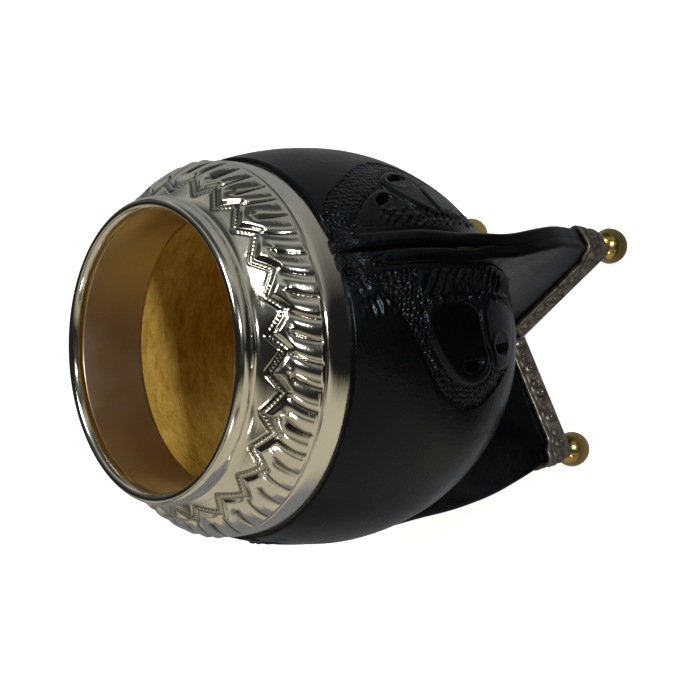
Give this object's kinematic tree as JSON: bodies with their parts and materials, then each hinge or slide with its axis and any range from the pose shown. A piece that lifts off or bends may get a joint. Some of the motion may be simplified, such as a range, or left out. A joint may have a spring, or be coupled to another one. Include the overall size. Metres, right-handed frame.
{
  "type": "mate_gourd_cup",
  "caption": "Leather-covered mate gourd with a chiselled white-metal mouth collar, three leather fins and a metal star base on brass ball feet.",
  "frame": {"origin": "On the floor under the middle of the mouth, the three ball feet touching z = 0", "axes": "+Z out of the mouth, -Y close to the seam of fin 1 at the collar, +X between fin 1 and fin 2"},
  "size_m": [0.0789, 0.0795, 0.1055],
  "materials": {
    "leather": "matte black, tooled, light sheen",
    "white_metal": "polished white metal with dark patina in the chiselling",
    "sleeve_metal": "brushed, warm grey",
    "gourd": "dry fibrous inside of a gourd",
    "dark_metal": "tarnished white metal, chiselled",
    "brass": "polished",
    "board": "plain stiffener board"
  },
  "bodies": {
    "root": {"gourd_shell": "gourd", "inner_sleeve": "sleeve_metal", "collar": "white_metal", "lip_ring": "white_metal", "star_hub": "dark_metal", "leather_panel_1": "leather", "leather_panel_2": "leather", "leather_panel_3": "leather", "fin_core_1": "board", "fin_core_2": "board", "fin_core_3": "board", "trim_channel_1": "dark_metal", "trim_channel_2": "dark_metal", "trim_channel_3": "dark_metal", "toe_cap_1": "dark_metal", "toe_cap_2": "dark_metal", "toe_cap_3": "dark_metal", "foot_ball_1": "brass", "foot_ball_2": "brass", "foot_ball_3": "brass", "ball_pin_1": "brass", "ball_pin_2": "brass", "ball_pin_3": "brass"}
  },
  "joints": []
}
